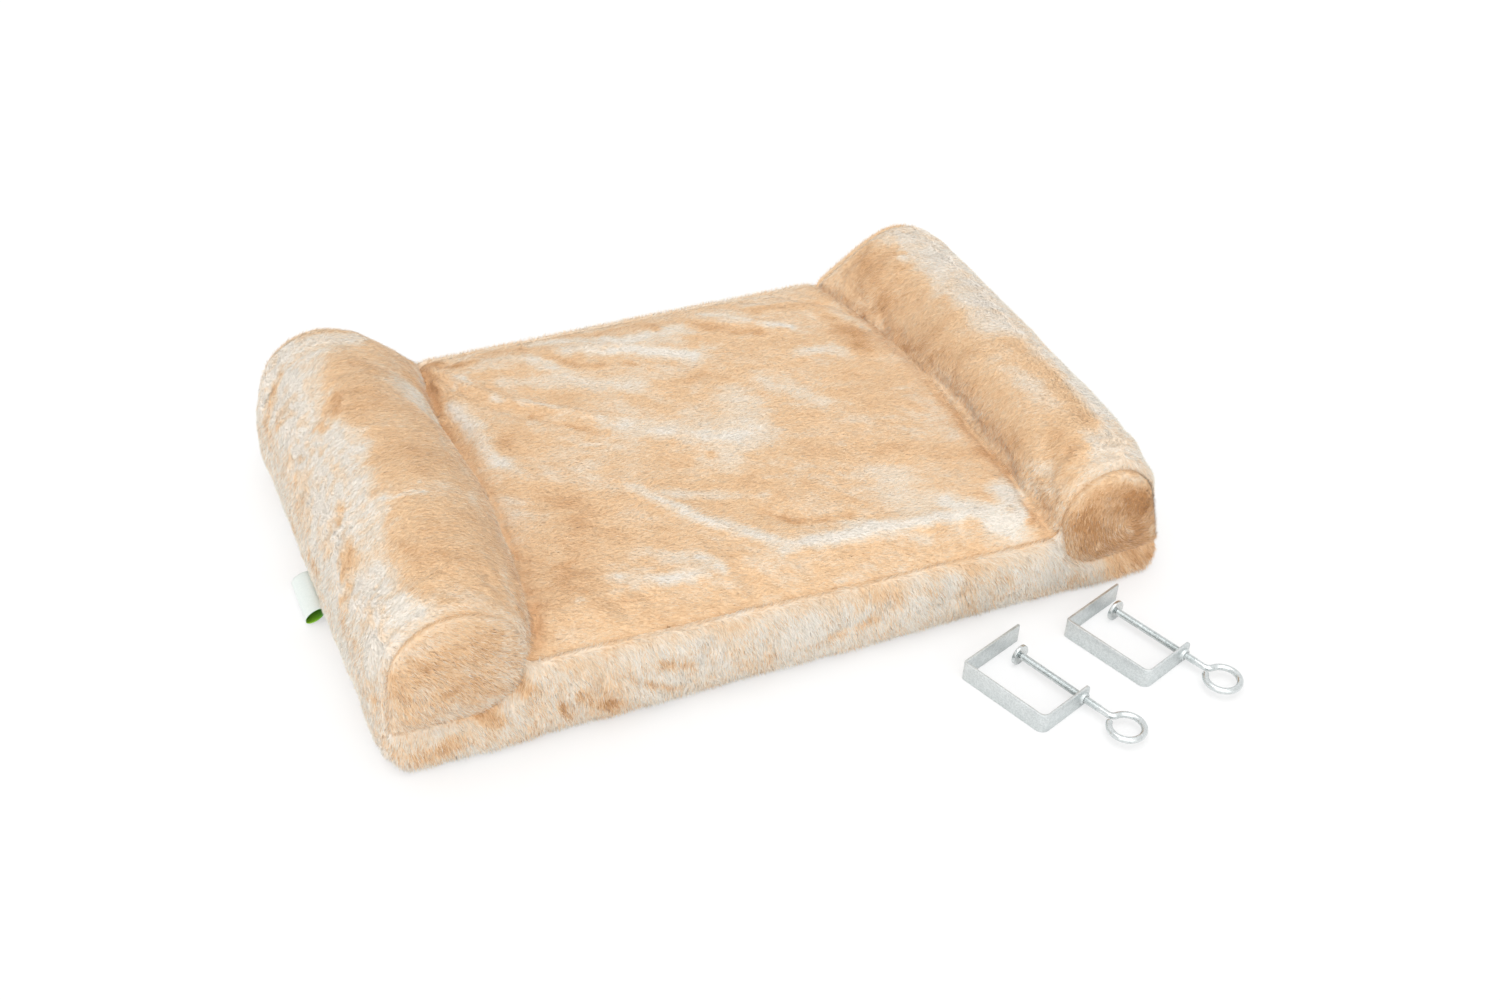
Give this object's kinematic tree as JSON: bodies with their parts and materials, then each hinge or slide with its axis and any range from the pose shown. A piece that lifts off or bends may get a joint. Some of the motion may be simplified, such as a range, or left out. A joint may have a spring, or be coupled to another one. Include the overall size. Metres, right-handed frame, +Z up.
{
  "type": "window bed",
  "caption": "Plush bed for a cat with a raised roll at each end, a board inside, and screw clamps that fix it to a window sill.",
  "frame": {"origin": "middle of the bed's flat underside, at the height of what it rests on", "axes": "+X along the bed to its right end, -Y to its front, +Z up"},
  "size_m": [0.5628, 0.499, 0.1186],
  "materials": {
    "plush": "matte",
    "lining": "matte",
    "board": "matte",
    "foam": "matte",
    "ribbon": "satin",
    "zip_tape": "matte",
    "zip_chain": "satin",
    "zip_metal": "satin",
    "zinc": "satin"
  },
  "bodies": {
    "bed": {"left_roll_cover": "plush", "right_roll_cover": "plush", "seat_cover": "plush", "front_band": "plush", "rear_band": "plush", "front_left_cap": "plush", "front_right_cap": "plush", "rear_left_cap": "plush", "rear_right_cap": "plush", "bottom_panel": "lining", "base_board": "board", "seat_foam": "foam", "left_roll_foam": "foam", "right_roll_foam": "foam", "label": "ribbon", "zip_tape": "zip_tape", "zip_chain": "zip_chain", "zip_left_stop": "zip_metal", "zip_right_stop": "zip_metal"},
    "zip_slider_body": {"zip_slider": "zip_metal"},
    "zip_pull_body": {"zip_pull": "zip_metal"},
    "clamp_1_frame_body": {"clamp_1_frame": "zinc"},
    "clamp_1_disc_body": {"clamp_1_disc": "zinc"},
    "clamp_1_screw_body": {"clamp_1_screw": "zinc"},
    "clamp_2_frame_body": {"clamp_2_frame": "zinc"},
    "clamp_2_disc_body": {"clamp_2_disc": "zinc"},
    "clamp_2_screw_body": {"clamp_2_screw": "zinc"}
  },
  "joints": [
    {"name": "zip_slide", "type": "slide", "parent": "bed", "child": "zip_slider_body", "axis": [1, 0, 0], "range_m": [-0.313, 0]},
    {"name": "zip_pull_flip", "type": "hinge", "parent": "zip_slider_body", "child": "zip_pull_body", "pos_m": [0.158, 0.1812, 0.022], "axis": [0, 0, 1], "range_deg": [0, 180]},
    {"name": "clamp_1_lift", "type": "slide", "parent": "bed", "child": "clamp_1_frame_body", "axis": [0, 0, 1], "range_m": [0, 0.25]},
    {"name": "clamp_1_screw_advance", "type": "slide", "parent": "clamp_1_frame_body", "child": "clamp_1_disc_body", "axis": [-0.342, 0.9397, 0], "range_m": [-0.0456, 0.012]},
    {"name": "clamp_1_screw_turn", "type": "hinge", "parent": "clamp_1_disc_body", "child": "clamp_1_screw_body", "pos_m": [0.13258, -0.21912, 0.00725], "axis": [-0.342, 0.9397, 0], "range_deg": [-20521, 5401]},
    {"name": "clamp_2_lift", "type": "slide", "parent": "bed", "child": "clamp_2_frame_body", "axis": [0, 0, 1], "range_m": [0, 0.25]},
    {"name": "clamp_2_screw_advance", "type": "slide", "parent": "clamp_2_frame_body", "child": "clamp_2_disc_body", "axis": [-0.342, 0.9397, 0], "range_m": [-0.0488, 0.0088]},
    {"name": "clamp_2_screw_turn", "type": "hinge", "parent": "clamp_2_disc_body", "child": "clamp_2_screw_body", "pos_m": [0.21488, -0.20483, 0.00725], "axis": [-0.342, 0.9397, 0], "range_deg": [-21961, 3961]}
  ],
  "couplings": [
    {"joint": "clamp_1_screw_turn", "follows": "clamp_1_screw_advance", "rad_per_m": 7854},
    {"joint": "clamp_2_screw_turn", "follows": "clamp_2_screw_advance", "rad_per_m": 7854}
  ]
}
